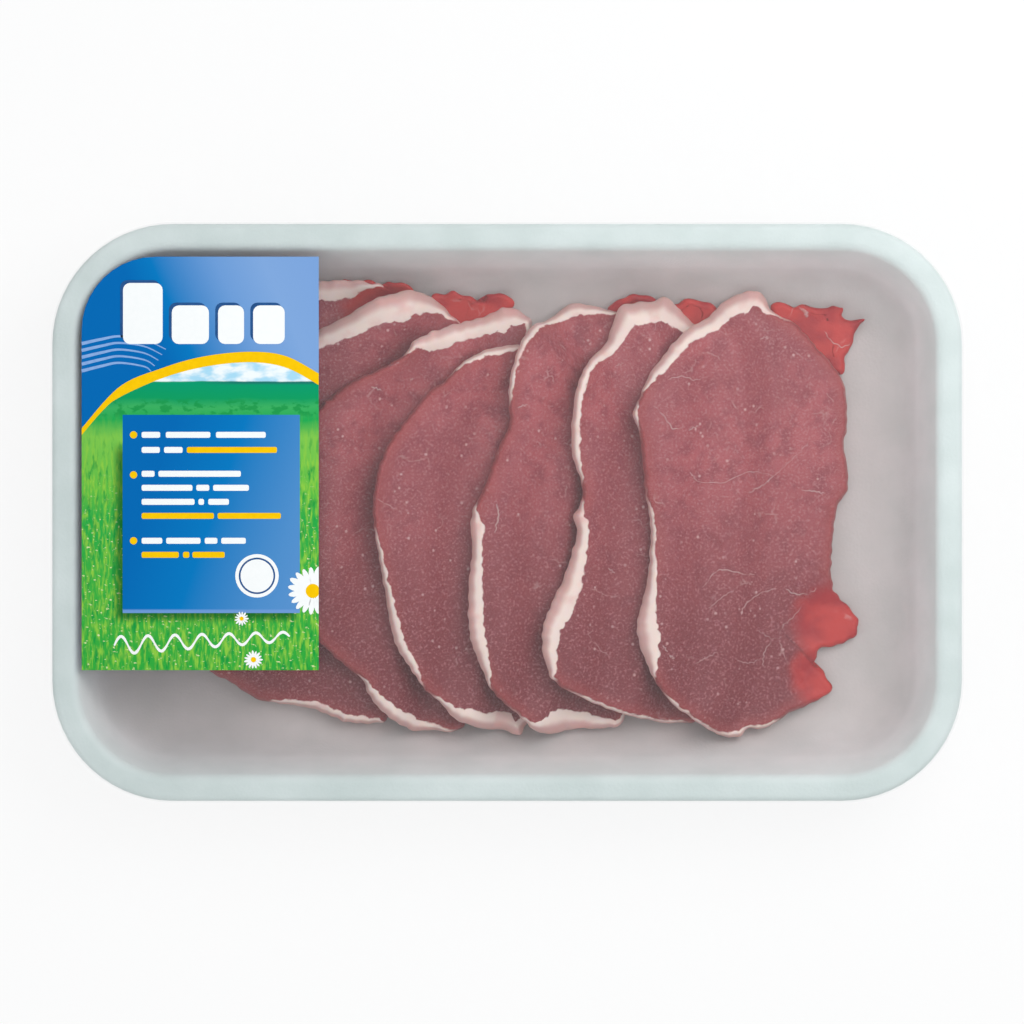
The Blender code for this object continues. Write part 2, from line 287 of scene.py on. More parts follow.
# Threads of fat in the faces: each has its width and the points it runs through, in mm.
VEINS = {
    "slice_7": (
        (0.8, (56.5, -21.5), (59.5, -17.5), (62.5, -16.5), (67, -17.5), (71.5, -18)),
        (0.5, (58, -27.5), (62.5, -24), (66.5, -21.5)),
        (0.7, (67.5, -29.5), (68, -27.5), (70.5, -25), (74, -23), (78, -22)),
        (1.0, (80.5, -22), (83, -23.5), (87, -23.5), (89.5, -22)),
        (0.7, (85, -27.5), (82.5, -30.5), (80, -32.5), (78.5, -35.5)),
        (0.8, (72, -34), (74, -35), (76.5, -36.5), (79.5, -36)),
        (0.7, (76.5, -37), (74.5, -40), (74, -42.5), (74, -44.5)),
        (0.5, (65.5, -42), (69, -43.5), (73, -42.5)),
        (0.5, (54, -43.5), (57, -42), (60.5, -40)),
        (0.9, (42, 30.5), (45, 27.5), (47.5, 24), (50.5, 24.5)),
        (0.8, (52, 23.5), (55, 25)),
        (0.6, (46, 38), (50, 39), (53.5, 38), (56, 38.5)),
        (0.9, (77, 10.5), (74, 8), (69.5, 5.5)),
        (0.5, (77, 10.5), (81.5, 14.5), (87, 20)),
        (0.5, (77, 10.5), (73, 11.5), (69, 11.5), (61.5, 8.5), (54, 9)),
        (0.8, (85, 6.5), (89, 6), (92, 5.5)),
        (0.7, (73, 50), (75.5, 51)),
        (0.6, (52.5, 11.5), (54.5, 9)),
        (1.6, (46.5, -41), (48, -42)),
        (0.9, (44.5, -38), (46, -40)),
    ),
    "slice_5": ((1.2, (-3, 2.5), (-2.5, -1), (-3.5, -6)), (0.8, (3, 30), (6, 31))),
    "slice_6": ((0.8, (31, 42), (33.5, 43)), (0.7, (29, -16), (31, -17.5))),
    "slice_3": (
        (1.1, (-34, 42), (-31, 43)),
        (0.9, (-28, 38), (-27, 38.5)),
        (1.0, (-39, 36), (-36, 35)),
    ),
    "slice_7_side_muscle": (
        (0.9, (92, 52.5), (93.5, 50), (97, 47.9), (99.7, 49.3)),
        (3.2, (84.6, 59.4), (86.4, 58.4), (86.8, 56.4)),
    ),
}

# Torn ends of side muscle that hang from a slice's far end: the edge, in mm.
FLAPS = {
    "slice_1": (
        (-48, 66), (-42.5, 67), (-37, 66.5), (-30.5, 66), (-26, 64), (-29, 60), (-37.5, 57),
        (-48, 57),
    ),
    "slice_2": (
        (-22, 62), (-19, 63.5), (-15, 63.5), (-10.5, 62.5), (-6.5, 60.8), (-6, 63),
        (-3, 63.5), (1, 62.5), (1.5, 60), (-2, 56), (-8, 52), (-14, 50), (-20, 51), (-24, 55),
    ),
    "slice_5": (
        (29, 53), (29, 58), (31, 61), (34, 62.5), (38, 63), (42.5, 61.8), (46, 58), (40, 52),
    ),
    "slice_6": ((46, 58), (48, 60.5), (52, 61.2), (59, 61), (60, 54), (54, 49), (48, 52)),
    "slice_7": (
        (76, 58), (78, 60.5), (85, 59.8), (91, 59.3), (97, 59.5), (97, 57), (100.5, 55.5),
        (103.5, 55.8), (101, 52.5), (100, 48.5), (98, 45.5), (98, 42.5), (95.5, 40), (88, 44),
        (80, 52),
    ),
}


def catmull_rom(knots, steps):
    """Points of the smooth curve through the knots, from the second to the last but one."""
    t = np.linspace(0, 1, steps, endpoint=False)[:, None]
    runs = []
    for before, start, end, after in zip(knots, knots[1:], knots[2:], knots[3:]):
        runs.append(0.5 * (2 * start + (end - before) * t
                           + (2 * before - 5 * start + 4 * end - after) * t**2
                           + (3 * start - before - 3 * end + after) * t**3))
    return np.concatenate([*runs, knots[-2:-1]])


def open_curve(points, steps):
    """A smooth curve from the first point to the last."""
    return catmull_rom(np.array([points[0], *points, points[-1]], float), steps)


def closed_curve(points, steps):
    """A smooth closed curve through the points, evenly spaced, as metres."""
    knots = np.array([points[-1], *points, *points[:2]], float) * MM
    fine = catmull_rom(knots, 24)
    along = np.concatenate([[0], np.cumsum(np.hypot(*np.diff(fine[:, :2], axis=0).T))])
    places = np.linspace(0, along[-1], steps, endpoint=False)
    return np.stack([np.interp(places, along, column) for column in fine.T], axis=1)


def inward(outline):
    """The unit direction into the slice at each point of an anticlockwise outline."""
    ahead = np.roll(outline, -2, axis=0) - np.roll(outline, 2, axis=0)
    normal = np.stack([-ahead[:, 1], ahead[:, 0]], axis=1)
    return normal / np.linalg.norm(normal, axis=1, keepdims=True)


def ragged(count, waves, seed):
    """A wavy closed line of unit size, from random waves in the given range of counts."""
    random = np.random.default_rng(seed)
    angle = np.linspace(0, 2 * math.pi, count, endpoint=False)
    numbers = np.arange(*waves)
    sizes = random.normal(size=len(numbers)) / np.sqrt(len(numbers) / 2)
    shifts = random.uniform(0, 2 * math.pi, len(numbers))
    return (sizes[:, None] * np.sin(numbers[:, None] * angle + shifts[:, None])).sum(axis=0)


class Stack:
    """A grid of heights over the tray: what the next slice comes to lie on."""

    def __init__(self):
        self.xs = np.arange(-tray_length / 2, tray_length / 2, CELL)
        self.ys = np.arange(-tray_width / 2, tray_width / 2, CELL)
        self.grid_x, self.grid_y = np.meshgrid(self.xs, self.ys)
        past_x = np.abs(self.grid_x) - (tray_length / 2 - TRAY_CORNER)
        past_y = np.abs(self.grid_y) - (tray_width / 2 - TRAY_CORNER)
        beyond = np.hypot(np.maximum(past_x, 0), np.maximum(past_y, 0))
        inset = TRAY_CORNER - beyond - np.minimum(np.maximum(past_x, past_y), 0)
        section = rounded_section(TRAY_SECTION[5:])
        self.dish = np.interp(inset, section[:, 0], section[:, 1] + tray_low.z)
        self.top = np.full(self.grid_x.shape, FLOOR_LEVEL)

    def inside(self, outline):
        """Which cells the outline holds, from its crossings to the right of each."""
        held = np.zeros(self.grid_x.shape, bool)
        for (x0, y0), (x1, y1) in zip(outline, np.roll(outline, -1, axis=0)):
            if y0 != y1:
                spans = (self.grid_y < y0) != (self.grid_y < y1)
                held ^= spans & (self.grid_x < x0 + (self.grid_y - y0) / (y1 - y0) * (x1 - x0))
        return held

    def shifted(self, field, reach):
        """The field moved by each whole number of cells within the reach."""
        around = range(-reach, reach + 1)
        cells = [(i, j) for i in around for j in around if math.hypot(i, j) <= reach]
        return [np.roll(field, cell, axis=(0, 1)) for cell in cells]

    def lay(self, outline):
        """Lays a slice: flesh bridges each step below it. Returns its underside's heights."""
        highest = np.max(self.shifted(self.top, BEND_REACH + BEND_MARGIN), axis=0)
        bridged = np.mean(self.shifted(highest, BEND_REACH), axis=0)
        underside = np.maximum(bridged, self.dish) + SLICE_GAP
        self.top = np.where(self.inside(outline), underside + SLICE_THICKNESS, self.top)
        return np.mean(self.shifted(underside, 2), axis=0)

    def read(self, field, points):
        """The field's heights at the points, between the cells' own."""
        column = np.clip((points[..., 0] - self.xs[0]) / CELL, 0, len(self.xs) - 1.001)
        row = np.clip((points[..., 1] - self.ys[0]) / CELL, 0, len(self.ys) - 1.001)
        i, j = row.astype(int), column.astype(int)
        v, u = row - i, column - j
        near = field[i, j] * (1 - u) + field[i, j + 1] * u
        return near * (1 - v) + (field[i + 1, j] * (1 - u) + field[i + 1, j + 1] * u) * v


class Flesh:
    """A cut of flesh: its surfaces are heights over the plan, so they can't fold.

    edge holds x, y and the width of the fat band. From the edge inwards the face rises over a
    rounded shoulder, wider where the fat is; red side muscle is thinner and more ragged.
    """

    def __init__(self, name, edge, underside, stack, thickness, seed, red=None):
        self.name, self.stack, self.underside = name, stack, underside
        self.thickness, self.red, self.seed = thickness, red, seed
        outline, band = edge[:, :2], np.maximum(edge[:, 2], 0)
        length = np.linalg.norm(np.diff(outline, axis=0), axis=1).sum() / MM
        fine = ragged(len(edge), (int(length / 11), int(length / 3)), seed)
        rough = ragged(len(edge), (int(length / 14), int(length / 4)), seed + 1)
        wander = fine * 0.09 * MM + rough * self.redness(outline) * 0.3 * MM
        self.outline = outline + inward(outline) * wander[:, None]
        ends = np.roll(self.outline, -1, axis=0), np.roll(band, -1)
        self.band = []
        self.tree = KDTree(FINE_EDGE * len(outline))
        for step in np.arange(FINE_EDGE) / FINE_EDGE:
            for place, width in zip(self.outline * (1 - step) + ends[0] * step,
                                    band * (1 - step) + ends[1] * step):
                self.tree.insert((*place, 0), len(self.band))
                self.band.append(width)
        self.tree.balance()

    def redness(self, points):
        return np.full(points.shape[:-1], 1.0) if self.red else red_share(self.name, points)

    def measure(self, points):
        """How far in from the edge each point lies, and the fat band's width nearest to it."""
        found = [self.tree.find((x, y, 0)) for x, y in points.reshape(-1, 2)]
        depth = np.array([item[2] for item in found]).reshape(points.shape[:-1])
        fat = np.array([self.band[item[1]] for item in found]).reshape(points.shape[:-1])
        return depth, fat

    def swell(self, points):
        """A slow unevenness of the face, in metres."""
        random = np.random.default_rng(self.seed + 2)
        total = np.zeros(points.shape[:-1])
        for _ in range(5):
            turn, wavelength, shift = random.uniform((0, 16 * MM, 0), (math.pi, 40 * MM, 6.3))
            along = points[..., 0] * math.cos(turn) + points[..., 1] * math.sin(turn)
            total += 0.07 * MM * np.sin(2 * math.pi * along / wavelength + shift)
        return total

    def face(self, points, depth, fat):
        lip = np.clip(0.6 * fat, 0.6 * MM, 4 * MM) + 0.8 * MM
        rise = 1 - np.clip(1 - depth / lip, 0, 1) ** 1.7
        thick = self.thickness * (1 - 0.5 * self.redness(points) * (self.red is None))
        height = thick * (0.35 + 0.65 * rise ** (1 / 1.7))
        return self.stack.read(self.underside, points) + height + self.swell(points) * rise

    def bottom(self, points, depth):
        curl = 1 - np.sqrt(1 - np.clip(1 - depth / (1.4 * MM), 0, 1) ** 2)
        return self.stack.read(self.underside, points) + 0.35 * self.thickness * curl

    def mesh(self):
        middle = self.outline.mean(axis=0)
        away = self.outline - middle
        lean = (away[:, 0] * away[:, 1]).sum() / (away[:, 1] ** 2).sum()
        even = sum(np.roll(away[:, 1], shift) for shift in range(-SPREAD, SPREAD + 1))
        even = 0.5 * even / (2 * SPREAD + 1)
        spine = middle + np.stack([lean * even, even], axis=1)
        ray = spine - self.outline
        reach = np.linalg.norm(ray, axis=1, keepdims=True)

        def rings(insets):
            return [self.outline + ray * np.minimum(d * MM / reach, 0.6) for d in insets]

        shoulder = rings(SHOULDER)
        inner = [spine + share * (shoulder[-1] - spine)
                 for share in np.linspace(1, 0.01, FACE_STEPS)[1:]]
        above = np.array([self.outline, *shoulder, *inner])
        under = rings(UNDERSHOULDER)
        below = np.array([*(spine + share * (under[0] - spine) for share in (0.01, 0.3, 0.6, 0.8)),
                          *under])
        depth, fat = self.measure(above)
        below_depth, below_fat = self.measure(below)
        heights = np.concatenate([self.bottom(below, below_depth), self.face(above, depth, fat)])
        plan = np.concatenate([below, above])
        mesh = ring_mesh(self.name, list(np.concatenate([plan, heights[..., None]], axis=-1)))
        self.write(mesh, plan, np.concatenate([below_depth * 0, depth]),
                   np.concatenate([below_fat, fat]), 0)
        return mesh

    def vein_mesh(self, lines):
        """Threads of fat let into the face: flat lenses whose colour fades to their sides."""
        meshes = []
        for width, *points in lines:
            path = open_curve(points, 8) * MM
            ahead = np.gradient(path, axis=0)
            across = np.stack([-ahead[:, 1], ahead[:, 0]], axis=1)
            across /= np.linalg.norm(across, axis=1, keepdims=True)
            taper = np.sin(np.linspace(0.12, math.pi - 0.12, len(path))) ** 0.6
            uneven = ragged(len(path), (2, 7), len(path)) * 0.12 * MM
            side = across * (width * MM / 2 * taper)[:, None]
            path = path + across * uneven[:, None]
            plan = np.stack([path - side, path, path + side, path], axis=1)
            depth, fat = self.measure(plan)
            lift = np.array([-0.05, 0.04, -0.05, -0.2]) * MM
            rings = np.concatenate([plan, (self.face(plan, depth, fat) + lift)[..., None]], axis=-1)
            mesh = ring_mesh(self.name + "_threads", list(rings))
            self.write(mesh, plan, depth, fat, np.array([0.0, 1.0, 0.0, 1.0]))
            meshes.append(mesh)
        return joined(self.name + "_threads", meshes)

    def write(self, mesh, plan, depth, fat, vein):
        """Stores what the material reads. depth and fat are in mm, the others from 0 to 1."""
        values = {"depth": depth / MM, "fat": fat / MM, "red": self.redness(plan),
                  "vein": np.broadcast_to(vein, depth.shape)}
        for key, value in values.items():
            attribute = mesh.attributes.new(key, "FLOAT", "POINT")
            attribute.data.foreach_set("value", value.astype(np.float32).ravel())


def joined(name, meshes):
    """One mesh of several, with their attributes."""
    builder = bmesh.new()
    for mesh in meshes:
        builder.from_mesh(mesh)
    whole = bpy.data.meshes.new(name)
    builder.to_mesh(whole)
    builder.free()
    whole.shade_smooth()
    return whole


def red_share(name, points):
    """How far each point belongs to the slice's red side muscle, from 0 to 1."""
    share = np.zeros(points.shape[:-1])
    for x, y, reach in RED_PATCHES.get(name, ()):
        far = np.hypot(points[..., 0] - x * MM, points[..., 1] - y * MM) / (reach * MM)
        share = np.maximum(share, np.clip(1.6 - 1.3 * far, 0, 1))
    return share


def flesh_material():
    """Raw pork loin, cut wet: pink muscle of fine fibres, white fat, a soft moist shine."""
    material, node, place = new_material("raw_pork_loin")
    depth, fat, red, vein = (
        node("ShaderNodeAttribute", output="Fac", attribute_name=key)
        for key in ("depth", "fat", "red", "vein")
    )
    # Noise at the sizes of: a patch of muscle, a bundle of fibres, a streak, a fibre, a wobble.
    clouds, bundles, streaks, grain, wobble = (
        node("ShaderNodeTexNoise", {"Vector": place, "Scale": 1 / (size * MM), "Detail": detail})
        for size, detail in ((26, 3.0), (4.5, 4.0), (9, 3.0), (0.7, 2.0), (2.2, 3.0))
    )

    muscle = node(
        "ShaderNodeMix",
        {
            "Factor": node(
                "ShaderNodeMapRange",
                {"Value": clouds, "From Min": 0.35, "From Max": 0.65},
                interpolation_type="SMOOTHSTEP",
            ),
            6: linear("#96424A"),
            7: linear("#A84E55"),
        },
        output=2,
        data_type="RGBA",
    )
    muscle = node(
        "ShaderNodeMix",
        {
            "Factor": node(
                "ShaderNodeMapRange",
                {"Value": bundles, "From Min": 0.4, "From Max": 0.72},
                interpolation_type="SMOOTHSTEP",
            ),
            6: muscle,
            7: linear("#8C3641"),
        },
        output=2,
        data_type="RGBA",
    )
    # Painted shade: the muscle darkens towards -y, the lower end, where less light falls.
    length = node("ShaderNodeSeparateXYZ", {0: place}, output="Y")
    painted_shade_place = node("ShaderNodeMath", {0: bundles, 1: 16 * MM, 2: length}, operation="MULTIPLY_ADD")
    painted_shade = node(
        "ShaderNodeMath",
        {
            0: node(
                "ShaderNodeMapRange",
                {"Value": painted_shade_place, "From Min": 34 * MM, "From Max": -40 * MM},
                interpolation_type="SMOOTHSTEP",
            ),
            1: 0.92,
        },
        operation="MULTIPLY",
    )
    muscle = node(
        "ShaderNodeMix",
        {"Factor": painted_shade, 6: muscle, 7: linear("#76212B")},
        output=2,
        data_type="RGBA",
    )
    fibres = node(
        "ShaderNodeMath",
        {
            0: node(
                "ShaderNodeMapRange",
                {"Value": grain, "From Min": 0.48, "From Max": 0.72},
                interpolation_type="SMOOTHSTEP",
            ),
            1: 0.44,
        },
        operation="MULTIPLY",
    )
    muscle = node(
        "ShaderNodeMix",
        {"Factor": fibres, 6: muscle, 7: linear("#BA7C80")},
        output=2,
        data_type="RGBA",
    )
    # Painted highlights: pale specks, gathered in streaks, for the tiny glints of the wet surface.
    dots = node("ShaderNodeTexVoronoi", {"Vector": place, "Scale": 1 / (3.4 * MM)})
    painted_glints = node(
        "ShaderNodeMath",
        {
            0: node(
                "ShaderNodeMapRange",
                {"Value": dots, "From Min": 0.17, "From Max": 0.08},
                interpolation_type="SMOOTHSTEP",
            ),
            1: node(
                "ShaderNodeMapRange",
                {"Value": streaks, "From Min": 0.42, "From Max": 0.6},
                interpolation_type="SMOOTHSTEP",
            ),
        },
        operation="MULTIPLY",
    )
    muscle = node(
        "ShaderNodeMix",
        {
            "Factor": node("ShaderNodeMath", {0: painted_glints, 1: 0.5}, operation="MULTIPLY"),
            6: muscle,
            7: linear("#D9B2B1"),
        },
        output=2,
        data_type="RGBA",
    )
    # Painted shade: a deep red band within 5.5 mm of every edge, for the shade where the slices
    # overlap.
    painted_edge_shade = node(
        "ShaderNodeMath",
        {
            0: node(
                "ShaderNodeMapRange",
                {"Value": depth, "From Min": 5.5, "From Max": 0.2},
                interpolation_type="SMOOTHSTEP",
            ),
            1: 0.6,
        },
        operation="MULTIPLY",
    )
    muscle = node(
        "ShaderNodeMix",
        {"Factor": painted_edge_shade, 6: muscle, 7: linear("#9C3B3B")},
        output=2,
        data_type="RGBA",
    )
    side_muscle = node(
        "ShaderNodeMix",
        {
            "Factor": node(
                "ShaderNodeMapRange",
                {"Value": streaks, "From Min": 0.38, "From Max": 0.62},
                interpolation_type="SMOOTHSTEP",
            ),
            6: linear("#A0101C"),
            7: linear("#BE302C"),
        },
        output=2,
        data_type="RGBA",
    )
    patchy = node("ShaderNodeMath", {0: bundles, 1: 0.3, 2: red}, operation="MULTIPLY_ADD")
    muscle = node(
        "ShaderNodeMix",
        {
            "Factor": node(
                "ShaderNodeMapRange",
                {"Value": patchy, "From Min": 0.28, "From Max": 0.95},
                interpolation_type="SMOOTHSTEP",
            ),
            6: muscle,
            7: side_muscle,
        },
        output=2,
        data_type="RGBA",
    )

    # Fine broken threads of fat: the edges of warped cells 17 mm wide.
    drift = node(
        "ShaderNodeTexNoise", {"Vector": place, "Scale": 1 / (6 * MM)}, output="Color"
    )
    warped = node(
        "ShaderNodeVectorMath", {0: drift, 1: (7 * MM,) * 3, 2: place}, operation="MULTIPLY_ADD"
    )
    web = node(
        "ShaderNodeTexVoronoi", {"Vector": warped, "Scale": 1 / (17 * MM)},
        feature="DISTANCE_TO_EDGE",
    )
    threads = node(
        "ShaderNodeMath",
        {
            0: node(
                "ShaderNodeMapRange",
                {"Value": web, "From Min": 0.02, "From Max": 0.004},
                interpolation_type="SMOOTHSTEP",
            ),
            1: node(
                "ShaderNodeMapRange",
                {"Value": streaks, "From Min": 0.55, "From Max": 0.7},
                interpolation_type="SMOOTHSTEP",
            ),
        },
        operation="MULTIPLY",
    )
    faint = node("ShaderNodeMath", {0: threads, 1: 0.3}, operation="MULTIPLY")
    patchy_vein = node(
        "ShaderNodeMapRange",
        {"Value": bundles, "From Min": 0.25, "From Max": 0.6},
        interpolation_type="SMOOTHSTEP",
    )
    strong = node(
        "ShaderNodeMath",
        {0: vein, 1: node("ShaderNodeMath", {0: patchy_vein, 1: 0.65}, operation="MULTIPLY")},
        operation="MULTIPLY",
    )
    muscle = node(
        "ShaderNodeMix",
        {
            "Factor": node("ShaderNodeMath", {0: faint, 1: strong}, operation="MAXIMUM"),
            6: muscle,
            7: linear("#D0ABA8"),
        },
        output=2,
        data_type="RGBA",
    )

    # The rim of fat: white where it meets the muscle, pinker and clearer on its outer side.
    ragged_depth = node("ShaderNodeMath", {0: wobble, 1: 1.8, 2: depth}, operation="MULTIPLY_ADD")
    left_over = node("ShaderNodeMath", {0: fat, 1: ragged_depth}, operation="SUBTRACT")
    inner = node(
        "ShaderNodeMapRange",
        {"Value": left_over, "From Min": -1.0, "From Max": -0.5},
        interpolation_type="SMOOTHSTEP",
    )
    is_fat = node(
        "ShaderNodeMath",
        {
            0: inner,
            1: node(
                "ShaderNodeMapRange",
                {"Value": fat, "From Min": 0.35, "From Max": 1.0},
                interpolation_type="SMOOTHSTEP",
            ),
        },
        operation="MULTIPLY",
    )
    across = node("ShaderNodeMath", {0: depth, 1: fat}, operation="DIVIDE")
    rind = node(
        "ShaderNodeMix",
        {
            "Factor": node(
                "ShaderNodeMapRange",
                {"Value": across, "From Min": 0.25, "From Max": 0.6},
                interpolation_type="SMOOTHSTEP",
            ),
            6: linear("#CDA29D"),
            7: linear("#E9D5CD"),
        },
        output=2,
        data_type="RGBA",
    )
    blush = node(
        "ShaderNodeMath",
        {
            0: node(
                "ShaderNodeMapRange",
                {"Value": streaks, "From Min": 0.52, "From Max": 0.7},
                interpolation_type="SMOOTHSTEP",
            ),
            1: 0.45,
        },
        operation="MULTIPLY",
    )
    rind = node(
        "ShaderNodeMix",
        {"Factor": blush, 6: rind, 7: linear("#DBA19D")},
        output=2,
        data_type="RGBA",
    )
    colour = node(
        "ShaderNodeMix",
        {"Factor": is_fat, 6: muscle, 7: rind},
        output=2,
        data_type="RGBA",
    )

    coarse = node("ShaderNodeMath", {0: bundles, 1: 0.5}, operation="MULTIPLY")
    relief = node("ShaderNodeMath", {0: grain, 1: 0.28, 2: coarse}, operation="MULTIPLY_ADD")
    relief = node("ShaderNodeMath", {0: is_fat, 1: 0.3, 2: relief}, operation="MULTIPLY_ADD")
    bump = node("ShaderNodeBump", {"Height": relief, "Distance": 0.35 * MM, "Strength": 0.6})
    wet = node("ShaderNodeMapRange", {"Value": streaks, "To Min": 0.36, "To Max": 0.6})
    finish_shader(
        node, Base_Color=colour, Roughness=wet, Normal=bump, IOR=1.4, Specular_IOR_Level=0.35,
        Subsurface_Weight=0.3, Subsurface_Radius=(1.0, 0.3, 0.16), Subsurface_Scale=2.6 * MM,
    )
    return material


def add_flesh(cut, material, *replaced):
    """Makes the cut's piece, and a second one for its threads of fat where it has them."""
    make_piece("pork_" + cut.name, cut.mesh(), material, "raw_pork", *replaced)
    if cut.name in VEINS:
        threads = cut.vein_mesh(VEINS[cut.name])
        make_piece("pork_" + threads.name, threads, material, "raw_pork")


stack = Stack()
flesh = flesh_material()
for number, (name, points) in enumerate(SLICES.items()):
    edge = closed_curve(points, OUTLINE_STEPS)
    underside = stack.lay(edge[::10, :2])
    add_flesh(Flesh(name, edge, underside, stack, SLICE_THICKNESS, 10 * number), flesh, name)
    if name in FLAPS:
        torn = closed_curve([(*point, 0) for point in FLAPS[name]], OUTLINE_STEPS // 2)
        lifted = underside + 0.5 * MM
        flap = Flesh(name + "_side_muscle", torn, lifted, stack, 2.6 * MM, 10 * number + 5, True)
        add_flesh(flap, flesh)

# ---------------------------------------------------------------------------------------------
# Label. Coated paper stuck on the film, with one round corner. Its print is a blue field, a
# yellow arc over a meadow, and a blue panel. Plain bars stand where words would be.
# ---------------------------------------------------------------------------------------------

label_low, label_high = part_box("label")
left, right = label_low.x / MM, label_high.x / MM
bottom, top = label_low.y / MM, label_high.y / MM
INK = 0.02 * MM
PANEL = (left + 11.7, -28.7, right - 5.4, 27.8)
ARC_TOP = ((left, 24), (-110.5, 35.8), (-98.7, 41), (-86.8, 44.4), (-73.6, 45.8),
           (-63.2, 44.6), (right, 39.6))
ARC_UNDER = ((left, 22), (-115.3, 29), (-110.5, 32.8), (-98.7, 38.1), (-86.8, 41.4),
             (-73.6, 42.8), (-63.2, 41.3), (right, 36.3))
# Rows of bars on the panel: height, then each bar's left and right end.
WHITE_ROWS = (
    (22.1, (-104.2, -98.9), (-97.3, -84.6), (-83, -68.8)),
    (17.8, (-104.2, -99), (-97.8, -92.5)),
    (11, (-104.2, -100.5), (-99.4, -75.9)),
    (7, (-104.2, -89.7), (-88.6, -84.9), (-83.8, -73.6)),
    (3, (-104.2, -89.1), (-88, -86.4), (-85.2, -79.3)),
    (-8.1, (-104.2, -98.3), (-97.2, -87.4), (-86.2, -82.6), (-81.5, -74.5)),
)
YELLOW_ROWS = (
    (17.8, (-91.3, -65.6)),
    (-1, (-104.2, -83.6), (-82.5, -64.5)),
    (-12.1, (-104.2, -93.6), (-92.4, -90.6), (-89.7, -80.5)),
)
BULLETS = ((-106.5, 22.1), (-106.5, 10.7), (-106.5, -8.1))
SEAL = (-71.3, -18.1)
# Daisies: x, y, reach of the petals and how many.
DAISIES = ((right - 1.7, -22.4, 7.2, 19), (-72.3, -42, 2.7, 15), (-75.7, -30.3, 2.1, 13))


def disc(x, y, radius, steps=40):
    """A round outline."""
    angle = np.linspace(0, 2 * math.pi, steps, endpoint=False)
    return np.stack([x + radius * np.cos(angle), y + radius * np.sin(angle)], axis=1)


def bar(x0, y0, x1, y1, radius):
    """A rectangle with round corners."""
    radius = min(radius, (x1 - x0) / 2, (y1 - y0) / 2)
    corners = ((x1, y1), (x0, y1), (x0, y0), (x1, y0))
    points = []
    for i, (x, y) in enumerate(corners):
        angle = np.linspace(0, math.pi / 2, 5) + math.pi / 2 * i
        inside_x = x - math.copysign(radius, x - x0 - 1e-6)
        inside_y = y - math.copysign(radius, y - y0 - 1e-6)
        points.append(np.stack([inside_x + radius * np.cos(angle),
                                inside_y + radius * np.sin(angle)], axis=1))
    return np.concatenate(points)


def stroke(line, widths):
    """The outline of a pen stroke along a line, as wide as widths say at each point."""
    line = np.asarray(line, float)
    ahead = np.gradient(line, axis=0)
    across = np.stack([-ahead[:, 1], ahead[:, 0]], axis=1)
    across *= np.reshape(widths, (-1, 1)) / 2 / np.linalg.norm(across, axis=1, keepdims=True)
    return np.concatenate([line - across, (line + across)[::-1]])


def printed(name, outlines, layer, material):
    """A layer of ink on the label: each outline, anticlockwise in mm, as a very thin plate."""
    builder = bmesh.new()
    level = label_high.z + layer * INK
    for outline in outlines:
        low = [builder.verts.new((x * MM, y * MM, level)) for x, y in outline]
        high = [builder.verts.new((x * MM, y * MM, level + INK)) for x, y in outline]
        builder.faces.new(low[::-1])
        builder.faces.new(high)
        for i in range(len(low)):
            j = (i + 1) % len(low)
            builder.faces.new((low[i], low[j], high[j], high[i]))
    mesh = bpy.data.meshes.new(name)
    builder.to_mesh(mesh)
    builder.free()
    return make_piece(name, mesh, material, "label_paper")


def ink_material(name, shade, darker):
    """Offset ink under a thin varnish: even, with the paper's faint mottle."""
    material, node, place = new_material(name)
    mottle = node("ShaderNodeTexNoise", {"Vector": place, "Scale": 1 / (1.5 * MM)})
    colour = node("ShaderNodeValToRGB", {"Fac": mottle}, stops=((0.3, darker), (0.7, shade)))
    finish_shader(node, Base_Color=colour, Roughness=0.5, IOR=1.45, Specular_IOR_Level=0.05)
    return material


def field_material(name, stops, low, high, tilt, strip=None):
    """Blue ink that lightens along a slanted line, with a paler strip at its foot."""
    material, node, place = new_material(name)
    parts = node("ShaderNodeVectorMath", {0: place, 1: (1 / MM, tilt / MM, 0)},
                 output="Value", operation="DOT_PRODUCT")
    share = node("ShaderNodeMapRange", {"Value": parts, "From Min": low, "From Max": high})
    colour = node("ShaderNodeValToRGB", {"Fac": share}, stops=stops)
    if strip:
        height = node("ShaderNodeSeparateXYZ", {0: place}, output="Y")
        foot = node(
            "ShaderNodeMapRange",
            {"Value": height, "From Min": (strip + 1.2) * MM, "From Max": (strip + 0.7) * MM},
        )
        colour = node("ShaderNodeMix", {"Factor": foot, 6: colour, 7: linear("#6E9AD6")},
                      output=2, data_type="RGBA")
    finish_shader(node, Base_Color=colour, Roughness=0.5, IOR=1.45, Specular_IOR_Level=0.05)
    return material


